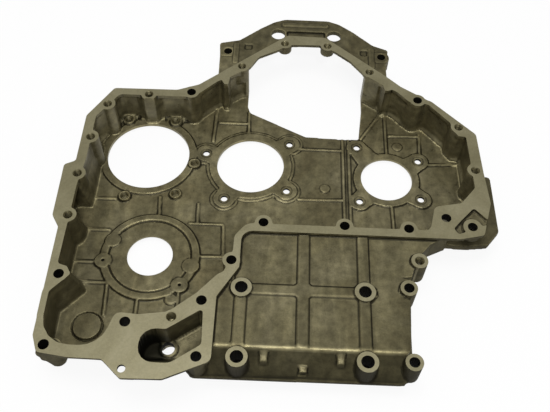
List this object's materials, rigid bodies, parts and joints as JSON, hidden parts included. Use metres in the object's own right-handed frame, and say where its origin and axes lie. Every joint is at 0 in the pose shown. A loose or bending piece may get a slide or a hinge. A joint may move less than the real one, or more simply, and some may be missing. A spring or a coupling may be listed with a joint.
{
  "type": "timing cover",
  "caption": "Cast aluminium engine timing case: a shallow gear tray with round gear bores, a machined screw flange, a crank arch and a ribbed side panel.",
  "frame": {"origin": "on the axis of the middle gear bore, at the back face", "axes": "+Z along the bore axes, out of the open side of the tray; +Y towards the crank arch; +X towards the camshaft bore"},
  "size_m": [0.4056, 0.4202, 0.044],
  "materials": {
    "cast_aluminium": "sand cast, flange and boss faces milled"
  },
  "bodies": {
    "root": {"timing_case": "cast_aluminium"}
  },
  "joints": []
}
